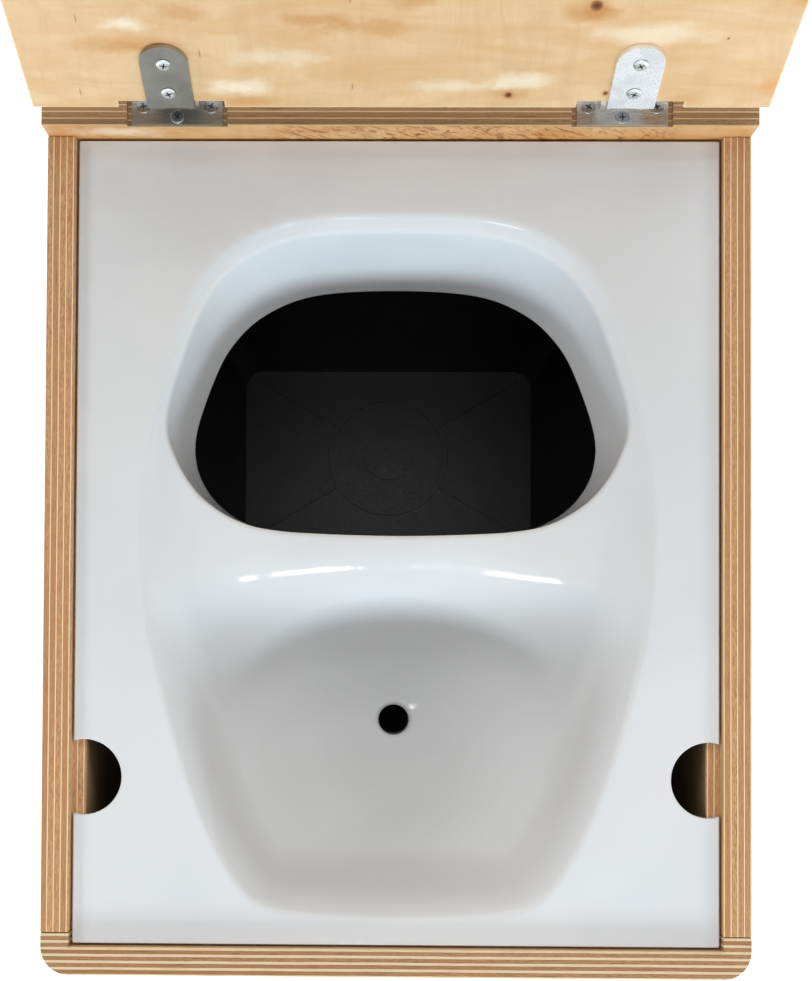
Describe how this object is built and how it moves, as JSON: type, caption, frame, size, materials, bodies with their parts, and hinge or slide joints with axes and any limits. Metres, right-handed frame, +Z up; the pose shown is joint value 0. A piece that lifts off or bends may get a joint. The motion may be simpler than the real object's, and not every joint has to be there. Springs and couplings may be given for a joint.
{
  "type": "composting toilet",
  "caption": "Compact urine-diverting dry toilet: plywood box with hinged lid, lift-out separator insert, bucket and urine canister.",
  "frame": {"origin": "centre of the box's underside (the base board's lower face), which four rubber feet hold 8 mm off the floor", "axes": "+X to the user's right when facing the toilet from its front, +Y to the rear where the lid is hinged, +Z up"},
  "size_m": [0.3, 0.4951, 0.7025],
  "materials": {
    "birch_plywood": "satin",
    "lid_plywood": "satin",
    "beech_dowel": "matte",
    "zinc_screw": "satin",
    "foot_rubber": "matte",
    "hinge_steel": "satin",
    "white_gloss_plastic": "gloss",
    "black_bucket_plastic": "satin",
    "bail_wire": "satin",
    "grip_plastic": "matte",
    "canister_plastic": "satin"
  },
  "bodies": {
    "box": {"front_board": "birch_plywood", "rear_board": "birch_plywood", "left_board": "birch_plywood", "right_board": "birch_plywood", "base_board": "birch_plywood", "front_dowels": "beech_dowel", "rear_dowels": "beech_dowel", "base_screws": "zinc_screw", "foot_front_left": "foot_rubber", "foot_front_right": "foot_rubber", "foot_rear_left": "foot_rubber", "foot_rear_right": "foot_rubber", "foot_screws": "zinc_screw", "left_hinge_leaf": "hinge_steel", "left_hinge_pin": "hinge_steel", "left_leaf_screws": "zinc_screw", "right_hinge_leaf": "hinge_steel", "right_hinge_pin": "hinge_steel", "right_leaf_screws": "zinc_screw"},
    "lid": {"lid_board": "lid_plywood", "left_hinge_strap": "hinge_steel", "left_strap_screws": "zinc_screw", "right_hinge_strap": "hinge_steel", "right_strap_screws": "zinc_screw"},
    "insert": {"insert_plate": "white_gloss_plastic", "insert_basin": "white_gloss_plastic", "insert_ridge": "white_gloss_plastic", "insert_chute": "white_gloss_plastic", "drain_spout": "white_gloss_plastic"},
    "bucket": {"bucket": "black_bucket_plastic"},
    "bail": {"bucket_bail": "bail_wire", "bail_grip": "grip_plastic"},
    "canister": {"urine_canister": "canister_plastic"}
  },
  "joints": [
    {"name": "lid_hinge", "type": "hinge", "parent": "box", "child": "lid", "pos_m": [0, 0.1797, 0.3355], "axis": [1, 0, 0], "range_deg": [0, 110]},
    {"name": "insert_lift", "type": "slide", "parent": "box", "child": "insert", "axis": [0, 0, 1], "range_m": [0, 0.6]},
    {"name": "bucket_lift", "type": "slide", "parent": "box", "child": "bucket", "axis": [0, 0, 1], "range_m": [0, 0.36]},
    {"name": "canister_lift", "type": "slide", "parent": "box", "child": "canister", "axis": [0, 0, 1], "range_m": [0, 0.36]},
    {"name": "bail_swing", "type": "hinge", "parent": "bucket", "child": "bail", "pos_m": [0, 0.07275, 0.255], "axis": [1, 0, 0], "range_deg": [0, 90]}
  ],
  "couplings": [
    {"joint": "bucket_lift", "follows": "insert_lift", "ratio": 0.6},
    {"joint": "canister_lift", "follows": "insert_lift", "ratio": 0.6},
    {"joint": "bail_swing", "follows": "insert_lift", "rad_per_m": 2.617}
  ]
}
